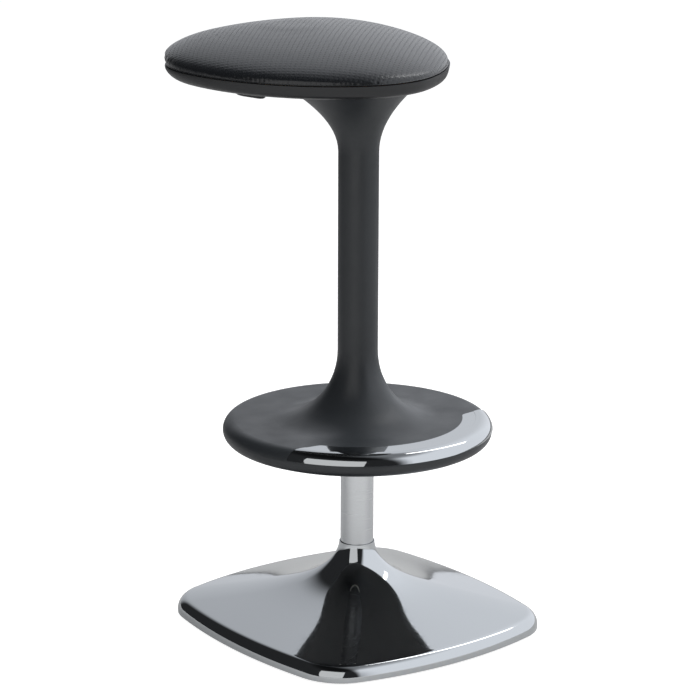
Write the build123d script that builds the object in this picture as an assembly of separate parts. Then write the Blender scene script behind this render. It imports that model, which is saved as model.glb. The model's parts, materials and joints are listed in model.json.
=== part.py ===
from build123d import *
import os
from math import cos, exp, hypot, radians, sin, sqrt, tan

# High stool: chromed trumpet base, gas lift, one-piece column with foot disc and flare, upholstered seat.
# Millimetres. The origin is on the floor under the column, +Z is up and the sitter faces -Y.
# The lift is drawn at its full height.

# Base shell: square with round corners at the floor, round at the collar. The cut is what rounding takes off
# each sharp corner.
base_half_w = 212.7
base_half_d = 223.1
base_corner_cut = 51.6
base_corner_r = 74.6
base_h = 118.0
base_wall = 2.5
base_foot_gap = 2.5
rim_roll_r = 18.0
rim_side = 4.5
rim_slope_deg = 40.0
rim_ease = 14.0
skirt_slope_deg = 15.0
trumpet_steps = 44
collar_wall = 0.9
collar_gap = 0.1
ring_wall = 0.6
ring_h = 9.0

# Floor pad, ballast plate and socket
pad_t = 3.0
pad_inset = 6.0
ballast_t = 10.0
knockout_r = 13.0
flange_r = 50.0
flange_t = 6.0
socket_r = 27.0
socket_h = 77.0
base_screw_pitch_r = 38.0
base_screw_count = 4
base_screw_r = 4.0
base_screw_head_r = 6.5
base_screw_head_t = 5.0

# Gas lift
tube_r = 23.2
tube_wall = 2.0
tube_lift = 11.0
tube_floor_t = 4.0
taper_deg = 1.4
stroke = 130.0
top_gap = 7.0
bush_len = 80.0
bush_flange_t = 3.0
cyl_r = 14.0
cyl_wall = 2.0
cyl_len = 367.0
cyl_head_t = 12.0
cyl_end_t = 12.0
rod_r = 5.0
rod_neck_r = 4.0
rod_tail = 9.5
piston_t = 14.0
piston_gap = 2.0
seal_t = 4.0
seal_depth = 2.5
race_r = 12.0
race_t = 2.0
roller_r = 1.5
roller_len = 4.6
roller_count = 12
roller_pitch_r = 8.6
cage_t = 1.6
cage_edge = 0.8
buffer_r = 9.0
buffer_h = 14.0
washer_r = 9.0
washer_t = 1.6
clip_r = 7.0
clip_t = 1.6
pin_r = 4.0
pin_show = 5.2

# Column moulding with foot disc
tube_show = 148.6
disc_r = 187.3
disc_t = 32.0
column_r = 28.0
foot_sweep_r = 116.0
foot_sweep_h = 97.0
flare_r = 72.4
flare_shift = 14.0
flare_h = 75.0
flare_steps = 10
core_r = 25.5
core_wall = 1.5
low_bush_len = 48.0
low_bush_flange_r = 27.0
low_bush_flange_t = 3.0
foot_plate_r = 150.0
foot_plate_t = 4.0
foot_plate_depth = 9.4
cover_r = 165.0
cover_t = 3.0
cover_seat = 14.0
cover_screw_count = 6
foot_screw_count = 6
foot_screw_pitch_r = 110.0
trim_screw_r = 2.5
trim_screw_head_r = 4.5
trim_screw_head_t = 2.4
trim_screw_len = 10.0

# Scuff plate on the front of the foot disc
scuff_t = 1.2
scuff_inner_r = 146.0
scuff_ledge_r = 164.0
scuff_step = 0.5
scuff_end_in_deg = 57.0
scuff_end_out_deg = 67.0
scuff_corner_r = 12.0
scuff_drop_deg = 81.0

# Seat plan: nose, two flanks, two rear corners and the back, all tangent arcs
seat_front = -103.0
seat_back = 268.0
nose_r = 126.0
flank_r = 260.0
corner_r = 116.0
corner_x = 82.0
corner_y = 139.0
seat_rise = 485.4
shell_depth = 34.0
shell_edge_h = 16.4
shell_edge_share = 0.077
shell_bottom_share = 0.45
shell_wall = 4.0
shell_lead = 25.3
seam_gap = 0.8
seam_draw = 0.015
bowl_steps = 10
crown_steps = 12
crown_h = 45.6
crown_set_back = 53.2
board_t = 8.0
board_inset = 16.0

# Seat fixings
seat_plate_t = 3.0
seat_plate_w = 150.0
seat_plate_front = -45.0
seat_plate_back = 125.0
seat_plate_corner_r = 12.0
seat_screw_edge = 15.0
seat_screw_r = 4.0
seat_screw_head_r = 6.5
seat_screw_head_t = 4.5
tee_nut_r = 9.0
tee_nut_barrel_r = 5.5
tee_nut_t = 1.5
hub_len = 61.0
post_r = 7.5
post_gap = 8.0
post_front_x = 45.0
post_back_x = 108.0
post_back_y = 160.0
post_screw_grip = 6.0

# Release lever on the sitter's right
lever_deg = 146.6
lever_rod_r = 3.0
lever_drop = 7.5
pivot_reach = 45.0
eye_r = 5.0
eye_w = 9.0
pivot_pin_r = 2.5
ear_t = 2.5
ear_len = 14.0
ear_h = 13.0
web_t = 2.0
paddle_reach = 147.0
paddle_len = 42.0
paddle_w = 24.0
paddle_t = 9.0
paddle_tilt = 9.6
paddle_round = 4.0
paddle_proud = 4.0
slot_gap = 2.0
window_w = 12.0

# Fits: running for what turns or slides, close for what is assembled, loose for what must not touch
run_fit = 0.06
close_fit = 0.03
loose_fit = 0.3

# Base: the mean of its half width and half depth, and how far each is from that
base_half = (base_half_w + base_half_d) / 2
base_stretch = (base_half_d - base_half_w) / 2
base_corner_reach = base_half * sqrt(2) - base_corner_cut
rim_low = base_foot_gap + rim_side
skirt_half = base_half - rim_roll_r * (1 - sin(radians(rim_slope_deg)))
skirt_low = rim_low + rim_roll_r * cos(radians(rim_slope_deg))

# Heights, from the floor up
ballast_low = pad_t
ballast_top = ballast_low + ballast_t
socket_top = ballast_top + socket_h
collar_top = base_h
ring_r = tube_r + close_fit + ring_wall
collar_r = ring_r + collar_gap + collar_wall
disc_low = collar_top + tube_show
disc_top = disc_low + disc_t
seam_z = disc_top + seat_rise
shell_low = seam_z - shell_depth
board_low = seam_z - board_t
seat_plate_low = board_low - seat_plate_t
lever_z = seat_plate_low - lever_drop
pin_top = lever_z - lever_rod_r - loose_fit
cyl_top = pin_top - pin_show
cyl_low = cyl_top - cyl_len
hub_low = cyl_top - hub_len
tube_low = ballast_top + tube_lift
tube_top = hub_low - stroke - top_gap - bush_flange_t
race_low = tube_low + tube_floor_t
roller_z = race_low + race_t + roller_r
race_high = roller_z + roller_r
rod_shoulder = race_high + race_t
piston_low = cyl_low + cyl_end_t + piston_gap
core_low = disc_low + cover_t + loose_fit + low_bush_flange_t
foot_plate_low = disc_low + foot_plate_depth
post_front_y = seat_plate_front - post_gap - post_r
post_spots = [(-post_back_x, post_back_y), (post_back_x, post_back_y),
              (-post_front_x, post_front_y), (post_front_x, post_front_y)]
seat_mid_y = (seat_front + seat_back) / 2 + 12.7


def span(a, b):
    return hypot(b[0] - a[0], b[1] - a[1])


def toward(a, b, reach):
    # the point at a distance from a, in the direction of b
    d = span(a, b)
    return (a[0] + (b[0] - a[0]) * reach / d, a[1] + (b[1] - a[1]) * reach / d)


def arc_about(mid, a, b, z):
    # an arc of under a half circle from a to b about mid
    half = toward(mid, ((a[0] + b[0]) / 2, (a[1] + b[1]) / 2), span(mid, a))
    return ThreePointArc((*a, z), (*half, z), (*b, z))


def tube(r_out, r_in, z0, z1):
    return extrude(Pos(0, 0, z0) * (Circle(r_out) - Circle(r_in)), amount=z1 - z0)


def rod(r, z0, z1):
    return extrude(Pos(0, 0, z0) * Circle(r), amount=z1 - z0)


def turned(*points):
    return revolve(Plane.XZ * make_face(Polyline(*points, close=True)), Axis.Z)


def around(count, r, start=0.0):
    return [(r * cos(radians(start + 360 * i / count)), r * sin(radians(start + 360 * i / count)))
            for i in range(count)]


def screws(spots, z_under_head, shank_r, head_r, head_t, length):
    # heads below, shanks pointing up
    one = rod(head_r, z_under_head - head_t, z_under_head) + rod(shank_r, z_under_head, z_under_head + length)
    return Compound(children=[Pos(x, y, 0) * one for x, y in spots])


def holes(spots, r, z0, z1):
    return [Pos(x, y, 0) * rod(r, z0, z1) for x, y in spots]


def even_steps(fine, count):
    # points at even lengths along a finely drawn profile, so that a loft through them runs fair
    run = [0.0]
    for p, q in zip(fine, fine[1:]):
        run.append(run[-1] + span(p, q))
    goals = [run[-1] * i / (count - 1) for i in range(count)]
    return [min(zip(run, fine), key=lambda pair: abs(pair[0] - goal))[1] for goal in goals]


# Square trumpet sections

def square_face(half_x, half_y, mid_x, mid_y, r, z):
    # four bowed sides and four round corners, all tangent
    side_r = (r ** 2 - mid_y ** 2 - (mid_x - half_x) ** 2) / (2 * (mid_x - half_x + r))
    end_r = (r ** 2 - mid_x ** 2 - (mid_y - half_y) ** 2) / (2 * (mid_y - half_y + r))
    side, end = half_x - side_r, half_y - end_r
    ax, ay = toward((side, 0), (mid_x, mid_y), side_r)
    bx, by = toward((0, end), (mid_x, mid_y), end_r)
    return make_face([
        arc_about((side, 0), (ax, -ay), (ax, ay), z),
        arc_about((mid_x, mid_y), (ax, ay), (bx, by), z),
        arc_about((0, end), (bx, by), (-bx, by), z),
        arc_about((-mid_x, mid_y), (-bx, by), (-ax, ay), z),
        arc_about((-side, 0), (-ax, ay), (-ax, -ay), z),
        arc_about((-mid_x, -mid_y), (-ax, -ay), (-bx, -by), z),
        arc_about((0, -end), (-bx, -by), (bx, -by), z),
        arc_about((mid_x, -mid_y), (bx, -by), (ax, -ay), z),
    ])


def base_face(half, reach, r, square, cut, z):
    # a section of the base by its mean half side, from square at 1 to round at 0, drawn in by a cut
    mid = (reach - r) / sqrt(2)
    longer = base_stretch * square * min(1.0, half / skirt_half)
    share = base_stretch / base_half * square
    half_x, half_y = half - longer - cut, half + longer - cut
    return square_face(half_x, half_y, mid * (1 - share), mid * (1 + share), r - cut, z)


def trumpet_profile():
    # half side, height, and the outward normal in that plane: an upright side, a rolled rim that eases into
    # the slope of the skirt, and a neck that ends upright
    fine = [(base_half, base_foot_gap + rim_side * i / 20) for i in range(20)]
    for i in range(200):
        a = radians((90 - rim_slope_deg) * i / 200)
        fine.append((base_half - rim_roll_r * (1 - cos(a)), rim_low + rim_roll_r * sin(a)))
    wide = skirt_half - collar_r
    steep, gentle = tan(radians(rim_slope_deg)), tan(radians(skirt_slope_deg))

    def climb(d):
        return gentle * d + (steep - gentle) * rim_ease * (1 - exp(-d / rim_ease))

    neck_h = collar_top - skirt_low - climb(wide)
    for i in range(1001):
        u = sin(radians(90 * i / 1000))
        fine.append((skirt_half - wide * u, skirt_low + climb(wide * u) + neck_h * (1 - sqrt(1 - u ** 2.2))))
    profile = []
    for p, (half, z), q in zip(fine[:1] + fine, fine, fine[1:] + fine[-1:]):
        n = span(p, q)
        profile.append((half, z, (q[1] - p[1]) / n, (p[0] - q[0]) / n))
    return even_steps(profile, trumpet_steps)


def trumpet(skin):
    # skin 0 gives the outside, 1 the inside of the wall, which runs out past both ends
    skirt_reach = base_corner_reach - (base_half - skirt_half)
    skirt_corner = base_corner_r - (base_half - skirt_half)
    faces = []
    for half, z, nx, nz in trumpet_profile():
        share = (half - collar_r) / (skirt_half - collar_r)
        wall = skin * (collar_wall + (base_wall - collar_wall) * min(1.0, 3 * share))
        if half >= skirt_half:
            square = 1.0
            reach = base_corner_reach - (base_half - half)
            r = base_corner_r - (base_half - half)
        else:
            square = sqrt(max(share, 0.0004))
            reach = half * (1 + (skirt_reach / skirt_half - 1) * square)
            r = half * (1 + (skirt_corner / skirt_half - 1) * square)
        past = 0.0
        if z == base_foot_gap:
            past = -skin
        if half < collar_r + 0.001:
            past = skin
        faces.append(base_face(half, reach, r, square, wall * nx, z - wall * nz + past))
    return loft(faces)


def base_shell():
    return trumpet(0) - trumpet(1)


def plate_face(inset, z):
    return base_face(base_half, base_corner_reach, base_corner_r, 1.0, inset, z)


def ballast_plate(spots):
    # the top edge fits under the roll of the rim
    climb = max(0.0, ballast_top - rim_low)
    inner_r = rim_roll_r - base_wall
    inset = rim_roll_r - sqrt(inner_r ** 2 - climb ** 2) + loose_fit
    plate = extrude(plate_face(inset, ballast_low), amount=ballast_t)
    plate -= rod(knockout_r, ballast_low, ballast_top)
    plate -= holes(spots, base_screw_r + loose_fit, ballast_low, ballast_top)
    plate -= holes(spots, base_screw_head_r + loose_fit, ballast_low, ballast_low + base_screw_head_t)
    return plate


def floor_pad():
    return extrude(plate_face(pad_inset, 0), amount=pad_t)


def taper_r(r_top, z_top, z):
    return r_top - (z_top - z) * tan(radians(taper_deg))


def taper_socket(spots):
    bore_top = tube_r + close_fit
    bore_low = taper_r(bore_top, socket_top, ballast_top)
    body = turned((bore_low, ballast_top), (flange_r, ballast_top), (flange_r, ballast_top + flange_t),
                  (socket_r + 3, ballast_top + flange_t), (socket_r, ballast_top + flange_t + 3),
                  (socket_r, socket_top - 2), (socket_r - 2, socket_top), (bore_top, socket_top))
    return body - holes(spots, base_screw_r + close_fit, ballast_top, ballast_top + flange_t)


# Gas lift

def column_tube():
    low_r = taper_r(tube_r, socket_top, tube_low)
    return turned((low_r, tube_low), (tube_r, socket_top), (tube_r, tube_top), (tube_r - tube_wall, tube_top),
                  (tube_r - tube_wall, socket_top), (low_r - tube_wall, tube_low))


def tube_floor():
    low_r = taper_r(tube_r, socket_top, tube_low) - tube_wall - close_fit
    return tube(low_r, rod_neck_r + loose_fit, tube_low, race_low)


def guide_bush():
    r_in = cyl_r + run_fit
    r_body = tube_r - tube_wall - close_fit
    return turned((r_in, tube_top - bush_len), (r_body, tube_top - bush_len), (r_body, tube_top),
                  (tube_r, tube_top), (tube_r, tube_top + bush_flange_t - 1),
                  (tube_r - 1, tube_top + bush_flange_t), (r_in, tube_top + bush_flange_t))


def spokes(body):
    # copies of a piece that lies along X, set round the axis at the middle of the rollers
    body = Pos(roller_pitch_r, 0, roller_z) * body
    return [Rot(0, 0, 360 * i / roller_count) * body for i in range(roller_count)]


def roller_cage():
    half = roller_len / 2 + loose_fit + cage_edge
    cage = tube(roller_pitch_r + half, roller_pitch_r - half, roller_z - cage_t / 2, roller_z + cage_t / 2)
    pocket = Box(roller_len + loose_fit, 2 * (roller_r + run_fit), 2 * cage_t)
    return cage - spokes(pocket)


def bearing_rollers():
    roller = Rot(0, 90, 0) * Cylinder(roller_r - close_fit, roller_len)
    return Compound(children=spokes(roller))


def piston_rod():
    low = race_low - tube_floor_t - rod_tail
    return turned((0, low), (rod_neck_r - 0.5, low), (rod_neck_r, low + 0.5), (rod_neck_r, rod_shoulder),
                  (rod_r, rod_shoulder), (rod_r, piston_low + piston_t), (0, piston_low + piston_t))


def piston():
    r = cyl_r - cyl_wall - run_fit
    groove = (piston_t - seal_t) / 2
    low, top = piston_low, piston_low + piston_t
    return turned((rod_r + close_fit, low), (r, low), (r, low + groove), (r - seal_depth, low + groove),
                  (r - seal_depth, top - groove), (r, top - groove), (r, top), (rod_r + close_fit, top))


def piston_seal():
    r = cyl_r - cyl_wall - run_fit / 2
    groove = (piston_t - seal_t) / 2
    return tube(r, cyl_r - cyl_wall - run_fit - seal_depth + close_fit,
                piston_low + groove + close_fit, piston_low + piston_t - groove - close_fit)


def rod_clip():
    z = tube_low - loose_fit - washer_t - clip_t
    ring = tube(clip_r, rod_neck_r + close_fit, z, z + clip_t)
    return ring - Pos(clip_r, 0, z + clip_t / 2) * Box(2 * clip_r, rod_neck_r, 2 * clip_t)


def pressure_cylinder():
    bore = cyl_r - cyl_wall
    low = cyl_low
    top_r = cyl_r - hub_len * tan(radians(taper_deg))
    return turned((bore, low), (cyl_r, low), (cyl_r, hub_low), (top_r, cyl_top), (pin_r + run_fit, cyl_top),
                  (pin_r + run_fit, cyl_top - cyl_head_t), (bore - 2, cyl_top - cyl_head_t),
                  (bore - 2, hub_low), (bore, hub_low - 4))


def cylinder_end():
    return tube(cyl_r - cyl_wall - close_fit, rod_r + run_fit, cyl_low, cyl_low + cyl_end_t)


# Column and foot disc

def cover_spots():
    return around(cover_screw_count, cover_r - cover_seat / 2, 30)


def foot_spots():
    return around(foot_screw_count, foot_screw_pitch_r)


def column_moulding(bowl):
    flare_low = shell_low - flare_h
    mid = (disc_low + disc_top) / 2
    edge = disc_t / 2
    sweep_top = disc_top + foot_sweep_h
    ledge = disc_low + cover_t + loose_fit
    plate_top = foot_plate_low + foot_plate_t
    inner = core_r + close_fit
    profile = [
        Line((inner, flare_low), (column_r, flare_low)),
        Line((column_r, flare_low), (column_r, sweep_top)),
        EllipticalCenterArc((foot_sweep_r, sweep_top), foot_sweep_r - column_r, foot_sweep_h, 180,
                            arc_size=90),
        Line((foot_sweep_r, disc_top), (disc_r - edge, disc_top)),
        CenterArc((disc_r - edge, mid), edge, 90, -90),
        CenterArc((disc_r - edge, mid), edge, 0, -90),
        Polyline((disc_r - edge, disc_low), (cover_r + loose_fit, disc_low), (cover_r + loose_fit, ledge),
                 (cover_r - cover_seat, ledge), (cover_r - cover_seat, plate_top), (inner, plate_top),
                 (inner, flare_low)),
    ]
    body = revolve(Plane.XZ * make_face(profile), Axis.Z)
    fine = []
    for i in range(1301):
        share = (i / 1000) ** 2
        fine.append((column_r + (flare_r - column_r) * share, flare_h * i / 1000, flare_shift * share))
    rings = [Pos(0, y, flare_low + z) * Circle(r) for r, z, y in even_steps(fine, flare_steps)]
    flare = loft(rings) - rod(inner, flare_low, seam_z) - bowl
    body += flare
    body -= holes(cover_spots(), trim_screw_r + close_fit, ledge, ledge + trim_screw_len)
    return body - holes(foot_spots(), trim_screw_r + close_fit, plate_top, plate_top + trim_screw_len)


def core_tube():
    body = tube(core_r, core_r - core_wall, core_low, seat_plate_low)
    window = Pos(core_r, 0, (cyl_top + seat_plate_low) / 2) * Box(
        2 * core_r, window_w, seat_plate_low - cyl_top - 2)
    return body - Rot(0, 0, lever_deg) * window


def low_bush():
    r_in = tube_r + run_fit
    r_body = core_r - core_wall - close_fit
    low = core_low - low_bush_flange_t
    return turned((r_in, low), (low_bush_flange_r, low), (low_bush_flange_r, core_low), (r_body, core_low),
                  (r_body, core_low + low_bush_len), (r_in, core_low + low_bush_len))


def foot_plate():
    body = tube(foot_plate_r, core_r + close_fit, foot_plate_low, foot_plate_low + foot_plate_t)
    return body - holes(foot_spots(), trim_screw_r + loose_fit, foot_plate_low, foot_plate_low + foot_plate_t)


def foot_cover():
    body = tube(cover_r, low_bush_flange_r + loose_fit, disc_low, disc_low + cover_t)
    body -= holes(cover_spots(), trim_screw_r + loose_fit, disc_low, disc_low + cover_t)
    return body - holes(cover_spots(), trim_screw_head_r + loose_fit, disc_low, disc_low + 2)


def scuff_plate():
    mid = (disc_low + disc_top) / 2
    edge = disc_t / 2
    r0 = edge + close_fit
    r1 = r0 + scuff_t
    turn = disc_r - edge
    inner, outer = scuff_inner_r, turn
    end = 90 - scuff_drop_deg
    lip0 = (turn + r0 * cos(radians(end)), mid + r0 * sin(radians(end)))
    lip1 = (turn + r1 * cos(radians(end)), mid + r1 * sin(radians(end)))
    profile = [
        Line((inner, mid + r0), (outer, mid + r0)),
        CenterArc((turn, mid), r0, 90, -scuff_drop_deg),
        Line(lip0, lip1),
        CenterArc((turn, mid), r1, 90, -scuff_drop_deg),
        Polyline((outer, mid + r1), (scuff_ledge_r + scuff_step, mid + r1),
                 (scuff_ledge_r, mid + r1 - scuff_step), (inner, mid + r1 - scuff_step), (inner, mid + r0)),
    ]
    strip = revolve(Plane.XZ * make_face(profile), Axis.Z)

    def at(r, deg):
        return (r * sin(radians(deg)), -r * cos(radians(deg)))

    near, far = scuff_end_in_deg, scuff_end_out_deg
    beyond = disc_r + 2 * edge
    a, b = at(inner, near), at(disc_r, far)
    tip = toward(a, b, span(a, b) * 1.6)
    wedge = make_face([
        ThreePointArc(at(inner, -near), at(inner, 0), a),
        Line(a, tip),
        Line(tip, (tip[0], -2 * beyond)),
        Line((tip[0], -2 * beyond), (-tip[0], -2 * beyond)),
        Line((-tip[0], -2 * beyond), (-tip[0], tip[1])),
        Line((-tip[0], tip[1]), at(inner, -near)),
    ])
    corners = [v for v in wedge.vertices() if abs(span((0, 0), (v.X, v.Y)) - inner) < 0.01]
    wedge = fillet(corners, scuff_corner_r)
    return strip & extrude(Pos(0, 0, disc_low) * wedge, amount=2 * disc_t)


# Seat

def seat_face(scale, shift, z, inset=0.0):
    # six tangent arcs, drawn in by an inset, then scaled about the middle of the seat and moved along Y
    nose = (0.0, seat_front + nose_r)
    corner = (corner_x, corner_y)
    gap = span(nose, corner)
    p, q = flank_r - nose_r, flank_r - corner_r
    along = (p ** 2 - q ** 2 + gap ** 2) / (2 * gap)
    off = sqrt(p ** 2 - along ** 2)
    ux, uy = (corner[0] - nose[0]) / gap, (corner[1] - nose[1]) / gap
    flank = (nose[0] + ux * along - uy * off, nose[1] + uy * along + ux * off)
    rise = corner_y - seat_back
    back_r = (corner_r ** 2 - corner_x ** 2 - rise ** 2) / (2 * (rise + corner_r))
    back = (0.0, seat_back - back_r)

    def put(pt):
        return (pt[0] * scale, seat_mid_y + (pt[1] - seat_mid_y) * scale + shift)

    def flip(pt):
        return (-pt[0], pt[1])

    t1 = put(toward(flank, nose, flank_r - inset))
    t2 = put(toward(flank, corner, flank_r - inset))
    t3 = put(toward(back, corner, back_r - inset))
    nose, corner, flank, back = put(nose), put(corner), put(flank), put(back)
    edges = [
        arc_about(nose, flip(t1), t1, z),
        arc_about(flank, t1, t2, z),
        arc_about(corner, t2, t3, z),
        arc_about(back, t3, flip(t3), z),
        arc_about(flip(corner), flip(t3), flip(t2), z),
        arc_about(flip(flank), flip(t2), flip(t1), z),
    ]
    return make_face(edges)


def shell_bowl(wall):
    # the outside of the shell with wall 0, or the hollow inside a given wall: a rounded edge, then a
    # shallow cone
    flat = 1 - shell_edge_share
    cone = (shell_depth - shell_edge_h) / (1 - shell_bottom_share)
    fine = []
    for i in range(1001):
        scale = 1 - (1 - shell_bottom_share) * (i / 1000) ** 2
        edge = sqrt(1 - max(0.0, (scale - flat) / shell_edge_share) ** 2)
        fine.append((scale * flank_r, shell_edge_h * edge + cone * (1 - scale), scale))
    faces = []
    for _, deep, scale in even_steps(fine, bowl_steps):
        lead = shell_lead * (deep / shell_depth) ** 2.58
        faces.append(seat_face(scale, -lead, seam_z - deep * (1 - wall / shell_depth), wall))
    return loft(faces)


def shell_floor(bowl, x, y):
    # height of the shell's underside at a place
    probe = Pos(x, y, 0) * rod(0.5, shell_low - 5, seam_z)
    return (bowl & probe).bounding_box().min.Z


def on_lever(reach):
    return (reach * cos(radians(lever_deg)), reach * sin(radians(lever_deg)))


def paddle_body(bowl):
    z = shell_floor(bowl, *on_lever(paddle_reach)) - paddle_proud
    body = extrude(SlotOverall(paddle_len, paddle_w), amount=paddle_t)
    body = fillet(body.faces().sort_by(Axis.Z)[0].edges(), paddle_round)
    return Rot(0, 0, lever_deg) * Pos(paddle_reach, 0, z) * Rot(0, -paddle_tilt, 0) * body


def paddle_slot():
    slot = SlotOverall(paddle_len + 2 * slot_gap, paddle_w + 2 * slot_gap)
    x, y = on_lever(paddle_reach)
    return extrude(Pos(x, y, shell_low - 1) * Rot(0, 0, lever_deg) * slot, amount=shell_depth - board_t)


def seat_shell(bowl):
    head_z = board_low - post_screw_grip
    body = bowl - shell_bowl(shell_wall)
    for x, y in post_spots:
        body += (Pos(x, y, 0) * rod(post_r, shell_low, board_low)) & bowl
    body -= holes(post_spots, trim_screw_r + close_fit, shell_low - 1, board_low)
    body -= holes(post_spots, trim_screw_head_r + loose_fit, shell_low - 1, head_z)
    body -= rod(core_r + loose_fit, shell_low - 1, board_low)
    body -= paddle_slot()
    return body - Pos(0, seat_mid_y, seam_z) * Box(3 * seat_back, 3 * seat_back, 2 * seam_gap)


def shell_screws():
    return screws(post_spots, board_low - post_screw_grip, trim_screw_r, trim_screw_head_r,
                  trim_screw_head_t, post_screw_grip + board_t - 1)


def seat_spots():
    x = seat_plate_w / 2 - seat_screw_edge
    return [(sx * x, y) for sx in (-1, 1) for y in (seat_plate_front + seat_screw_edge,
                                                   seat_plate_back - seat_screw_edge)]


def seat_plate():
    mid = (seat_plate_front + seat_plate_back) / 2
    face = RectangleRounded(seat_plate_w, seat_plate_back - seat_plate_front, seat_plate_corner_r)
    body = extrude(Pos(0, mid, seat_plate_low) * face, amount=seat_plate_t)
    return body - holes(seat_spots(), seat_screw_r + loose_fit, seat_plate_low, board_low)


def seat_board():
    body = extrude(seat_face(1.0, 0.0, board_low, board_inset), amount=board_t)
    body -= holes(seat_spots(), tee_nut_barrel_r + close_fit, board_low, seam_z)
    body -= holes(seat_spots(), tee_nut_r + close_fit, seam_z - tee_nut_t, seam_z)
    return body - holes(post_spots, trim_screw_r + close_fit, board_low, seam_z)


def tee_nuts():
    one = tube(tee_nut_barrel_r, seat_screw_r + close_fit, board_low, seam_z - tee_nut_t)
    one += tube(tee_nut_r, seat_screw_r + close_fit, seam_z - tee_nut_t, seam_z)
    return Compound(children=[Pos(x, y, 0) * one for x, y in seat_spots()])


def seat_cushion():
    # drawn in at the seam, widest a little above it, crowned towards the rear
    fine = []
    for i in range(976):
        t = i / 1000
        scale = (1 - t ** 2.252) ** 0.544 - seam_draw * max(0.0, 1 - 5 * t) ** 2
        fine.append((scale * flank_r, crown_h * t, scale, t))
    steps = even_steps(fine, crown_steps)
    steps[-1] = (*steps[-1][:3], 1.0)
    return loft([seat_face(scale, crown_set_back * t ** 1.3, seam_z + crown_h * t) for _, _, scale, t in steps])


def seat_hub():
    r_low = cyl_r + close_fit
    r_top = r_low - hub_len * tan(radians(taper_deg))
    r_out = core_r - core_wall - close_fit
    return turned((r_low, hub_low), (r_out - 2, hub_low), (r_out, hub_low + 2), (r_out, cyl_top),
                  (r_top, cyl_top))


# Release lever

def lever_rod():
    bar = Pos(-lever_rod_r, 0, 0) * Rot(0, 90, 0) * rod(lever_rod_r, 0, paddle_reach - paddle_len / 4)
    eye = Pos(pivot_reach, 0, 0) * Rot(90, 0, 0) * Cylinder(eye_r, eye_w)
    bore = Pos(pivot_reach, 0, 0) * Rot(90, 0, 0) * Cylinder(pivot_pin_r + run_fit, 2 * eye_w)
    return Rot(0, 0, lever_deg) * Pos(0, 0, lever_z) * (bar + eye - bore)


def lever_bracket():
    wide = eye_w + 2 * loose_fit + 2 * ear_t
    outer = Pos(pivot_reach, 0, seat_plate_low - ear_h / 2) * Box(ear_len, wide, ear_h)
    inner = Box(2 * ear_len, wide - 2 * ear_t, ear_h)
    inner = Pos(pivot_reach, 0, seat_plate_low - web_t - ear_h / 2) * inner
    bore = Pos(pivot_reach, 0, lever_z) * Rot(90, 0, 0) * Cylinder(pivot_pin_r + close_fit, 2 * wide)
    return Rot(0, 0, lever_deg) * (outer - inner - bore)


def pivot_pin():
    wide = eye_w + 2 * loose_fit + 2 * ear_t
    return Rot(0, 0, lever_deg) * Pos(pivot_reach, 0, lever_z) * Rot(90, 0, 0) * Cylinder(pivot_pin_r, wide)


os.makedirs("parts", exist_ok=True)
bowl = shell_bowl(0.0)
socket_spots = around(base_screw_count, base_screw_pitch_r, 45)
paddle = paddle_body(bowl)
rod_bar = lever_rod()
nodes = {
    "base_shell": base_shell(),
    "floor_pad": floor_pad(),
    "ballast_plate": ballast_plate(socket_spots),
    "taper_socket": taper_socket(socket_spots),
    "base_screws": screws(socket_spots, ballast_low + base_screw_head_t, base_screw_r, base_screw_head_r,
                          base_screw_head_t, ballast_t + flange_t - base_screw_head_t),
    "collar_ring": tube(ring_r, tube_r + close_fit, collar_top - ring_h - 1, collar_top - 1),
    "column_tube": column_tube(),
    "tube_floor": tube_floor(),
    "guide_bush": guide_bush(),
    "bearing_race_lower": tube(race_r, rod_neck_r + loose_fit, race_low, race_low + race_t),
    "roller_cage": roller_cage(),
    "bearing_rollers": bearing_rollers(),
    "bearing_race_upper": tube(race_r, rod_neck_r + close_fit, race_high, rod_shoulder),
    "rod_buffer": tube(buffer_r, rod_r + close_fit, rod_shoulder, rod_shoulder + buffer_h),
    "piston_rod": piston_rod(),
    "piston": piston(),
    "piston_seal": piston_seal(),
    "rod_washer": tube(washer_r, rod_neck_r + close_fit, tube_low - loose_fit - washer_t, tube_low - loose_fit),
    "rod_clip": rod_clip(),
    "pressure_cylinder": pressure_cylinder(),
    "cylinder_end": cylinder_end(),
    "valve_pin": rod(pin_r, cyl_top - cyl_head_t, pin_top),
    "core_tube": core_tube(),
    "low_bush": low_bush(),
    "column_moulding": column_moulding(bowl),
    "foot_plate": foot_plate(),
    "foot_plate_screws": screws(foot_spots(), foot_plate_low, trim_screw_r, trim_screw_head_r,
                                trim_screw_head_t, foot_plate_t + trim_screw_len - 1),
    "foot_cover": foot_cover(),
    "cover_screws": screws(cover_spots(), disc_low + 2, trim_screw_r, trim_screw_head_r, 1.6,
                           cover_t - 2 + loose_fit + trim_screw_len - 1),
    "scuff_plate": scuff_plate(),
    "seat_hub": seat_hub(),
    "seat_plate": seat_plate(),
    "seat_screws": screws(seat_spots(), seat_plate_low, seat_screw_r, seat_screw_head_r, seat_screw_head_t,
                          seat_plate_t + board_t - tee_nut_t),
    "tee_nuts": tee_nuts(),
    "seat_board": seat_board(),
    "seat_shell": seat_shell(bowl),
    "shell_screws": shell_screws(),
    "seat_cushion": seat_cushion(),
    "lever_bracket": lever_bracket(),
    "pivot_pin": pivot_pin(),
    "lever_rod": rod_bar - paddle,
    "lever_paddle": paddle,
}
for name, shape in nodes.items():
    export_step(shape, f"parts/{name}.step")
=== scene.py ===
import json
import math

import bmesh
import bpy
from mathutils import Matrix, Vector
from mathutils.bvhtree import BVHTree


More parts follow.
